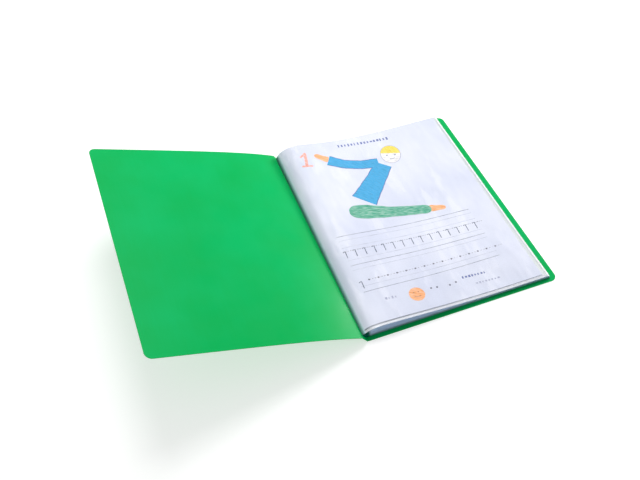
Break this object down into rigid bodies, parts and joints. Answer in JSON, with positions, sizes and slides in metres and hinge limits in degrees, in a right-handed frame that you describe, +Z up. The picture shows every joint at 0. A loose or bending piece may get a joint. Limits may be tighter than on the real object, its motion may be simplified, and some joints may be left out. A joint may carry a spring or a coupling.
{
  "type": "clear pocket display book",
  "caption": "Open display book: a creased plastic cover folds round a stack of clear film pockets held at the spine, with a worksheet in the top pocket.",
  "frame": {"origin": "centre of the back cover's underside, on the table", "axes": "+X from the spine to the back cover's free edge, +Y along the spine towards the pockets' open ends, +Z up from the table"},
  "size_m": [0.4817, 0.31, 0.1005],
  "materials": {
    "cover": "embossed matt polypropylene sheet",
    "film": "clear glossy film",
    "paper": "plain uncoated paper"
  },
  "bodies": {
    "back_cover": {"back_cover": "cover"},
    "spine": {"spine": "cover"},
    "front_cover": {"front_cover": "cover"},
    "pocket_01": {"pocket_01": "film"},
    "pocket_02": {"pocket_02": "film"},
    "pocket_03": {"pocket_03": "film"},
    "pocket_04": {"pocket_04": "film"},
    "pocket_05": {"pocket_05": "film"},
    "pocket_06": {"pocket_06": "film"},
    "pocket_07": {"pocket_07": "film"},
    "pocket_08": {"pocket_08": "film"},
    "pocket_09": {"pocket_09": "film"},
    "pocket_10": {"pocket_10": "film"},
    "pocket_11": {"pocket_11": "film"},
    "pocket_12": {"pocket_12": "film"},
    "pocket_13": {"pocket_13": "film"},
    "pocket_14": {"pocket_14": "film"},
    "pocket_15": {"pocket_15": "film"},
    "pocket_16": {"pocket_16": "film"},
    "pocket_17": {"pocket_17": "film"},
    "pocket_18": {"pocket_18": "film"},
    "pocket_19": {"pocket_19": "film"},
    "pocket_20": {"pocket_20": "film"},
    "worksheet": {"worksheet": "paper"}
  },
  "joints": [
    {"name": "spine_fold", "type": "hinge", "parent": "back_cover", "child": "spine", "pos_m": [-0.123, 0, 0.0004], "axis": [0, -1, 0], "range_deg": [-30, 0]},
    {"name": "front_cover_fold", "type": "hinge", "parent": "spine", "child": "front_cover", "pos_m": [-0.12988, 0, 0.01023], "axis": [0, -1, 0], "range_deg": [-120, 23]},
    {"name": "pocket_stack_root", "type": "hinge", "parent": "spine", "child": "pocket_20", "pos_m": [-0.12885, 0, 0.00876], "axis": [0, -1, 0], "range_deg": [0, 30]},
    {"name": "pocket_19_turn", "type": "hinge", "parent": "pocket_20", "child": "pocket_19", "pos_m": [-0.12258, 0, 0.00132], "axis": [0, -1, 0], "range_deg": [0, 2.23]},
    {"name": "pocket_18_turn", "type": "hinge", "parent": "pocket_20", "child": "pocket_18", "pos_m": [-0.12287, 0, 0.00174], "axis": [0, -1, 0], "range_deg": [0, 4.45]},
    {"name": "pocket_17_turn", "type": "hinge", "parent": "pocket_20", "child": "pocket_17", "pos_m": [-0.12316, 0, 0.00216], "axis": [0, -1, 0], "range_deg": [0, 6.68]},
    {"name": "pocket_16_turn", "type": "hinge", "parent": "pocket_20", "child": "pocket_16", "pos_m": [-0.12346, 0, 0.00258], "axis": [0, -1, 0], "range_deg": [0, 8.9]},
    {"name": "pocket_15_turn", "type": "hinge", "parent": "pocket_20", "child": "pocket_15", "pos_m": [-0.12375, 0, 0.003], "axis": [0, -1, 0], "range_deg": [0, 11.12]},
    {"name": "pocket_14_turn", "type": "hinge", "parent": "pocket_20", "child": "pocket_14", "pos_m": [-0.12405, 0, 0.00342], "axis": [0, -1, 0], "range_deg": [0, 13.34]},
    {"name": "pocket_13_turn", "type": "hinge", "parent": "pocket_20", "child": "pocket_13", "pos_m": [-0.12434, 0, 0.00384], "axis": [0, -1, 0], "range_deg": [0, 15.57]},
    {"name": "pocket_12_turn", "type": "hinge", "parent": "pocket_20", "child": "pocket_12", "pos_m": [-0.12463, 0, 0.00426], "axis": [0, -1, 0], "range_deg": [0, 17.79]},
    {"name": "pocket_11_turn", "type": "hinge", "parent": "pocket_20", "child": "pocket_11", "pos_m": [-0.12493, 0, 0.00468], "axis": [0, -1, 0], "range_deg": [0, 20.01]},
    {"name": "pocket_10_turn", "type": "hinge", "parent": "pocket_20", "child": "pocket_10", "pos_m": [-0.12522, 0, 0.0051], "axis": [0, -1, 0], "range_deg": [0, 22.23]},
    {"name": "pocket_09_turn", "type": "hinge", "parent": "pocket_20", "child": "pocket_09", "pos_m": [-0.12552, 0, 0.00552], "axis": [0, -1, 0], "range_deg": [0, 24.45]},
    {"name": "pocket_08_turn", "type": "hinge", "parent": "pocket_20", "child": "pocket_08", "pos_m": [-0.12581, 0, 0.00594], "axis": [0, -1, 0], "range_deg": [0, 26.68]},
    {"name": "pocket_07_turn", "type": "hinge", "parent": "pocket_20", "child": "pocket_07", "pos_m": [-0.1261, 0, 0.00636], "axis": [0, -1, 0], "range_deg": [0, 28.9]},
    {"name": "pocket_06_turn", "type": "hinge", "parent": "pocket_20", "child": "pocket_06", "pos_m": [-0.1264, 0, 0.00678], "axis": [0, -1, 0], "range_deg": [0, 31.12]},
    {"name": "pocket_05_turn", "type": "hinge", "parent": "pocket_20", "child": "pocket_05", "pos_m": [-0.12669, 0, 0.0072], "axis": [0, -1, 0], "range_deg": [0, 33.34]},
    {"name": "pocket_04_turn", "type": "hinge", "parent": "pocket_20", "child": "pocket_04", "pos_m": [-0.12699, 0, 0.00762], "axis": [0, -1, 0], "range_deg": [0, 35.57]},
    {"name": "pocket_03_turn", "type": "hinge", "parent": "pocket_20", "child": "pocket_03", "pos_m": [-0.12728, 0, 0.00804], "axis": [0, -1, 0], "range_deg": [0, 37.79]},
    {"name": "page_fan", "type": "hinge", "parent": "pocket_20", "child": "pocket_02", "pos_m": [-0.12757, 0, 0.00846], "axis": [0, -1, 0], "range_deg": [0, 40]},
    {"name": "top_page_turn", "type": "hinge", "parent": "pocket_02", "child": "pocket_01", "pos_m": [-0.12796, 0, 0.014], "axis": [0, -1, 0], "range_deg": [0, 110]},
    {"name": "worksheet_slide", "type": "slide", "parent": "pocket_01", "child": "worksheet", "axis": [0, 1, 0], "range_m": [0, 0.3]}
  ],
  "couplings": [
    {"joint": "pocket_stack_root", "follows": "spine_fold", "ratio": -1},
    {"joint": "pocket_19_turn", "follows": "page_fan", "ratio": 0.055556},
    {"joint": "pocket_18_turn", "follows": "page_fan", "ratio": 0.11111},
    {"joint": "pocket_17_turn", "follows": "page_fan", "ratio": 0.16667},
    {"joint": "pocket_16_turn", "follows": "page_fan", "ratio": 0.22222},
    {"joint": "pocket_15_turn", "follows": "page_fan", "ratio": 0.27778},
    {"joint": "pocket_14_turn", "follows": "page_fan", "ratio": 0.33333},
    {"joint": "pocket_13_turn", "follows": "page_fan", "ratio": 0.38889},
    {"joint": "pocket_12_turn", "follows": "page_fan", "ratio": 0.44444},
    {"joint": "pocket_11_turn", "follows": "page_fan", "ratio": 0.5},
    {"joint": "pocket_10_turn", "follows": "page_fan", "ratio": 0.55556},
    {"joint": "pocket_09_turn", "follows": "page_fan", "ratio": 0.61111},
    {"joint": "pocket_08_turn", "follows": "page_fan", "ratio": 0.66667},
    {"joint": "pocket_07_turn", "follows": "page_fan", "ratio": 0.72222},
    {"joint": "pocket_06_turn", "follows": "page_fan", "ratio": 0.77778},
    {"joint": "pocket_05_turn", "follows": "page_fan", "ratio": 0.83333},
    {"joint": "pocket_04_turn", "follows": "page_fan", "ratio": 0.88889},
    {"joint": "pocket_03_turn", "follows": "page_fan", "ratio": 0.94444}
  ]
}
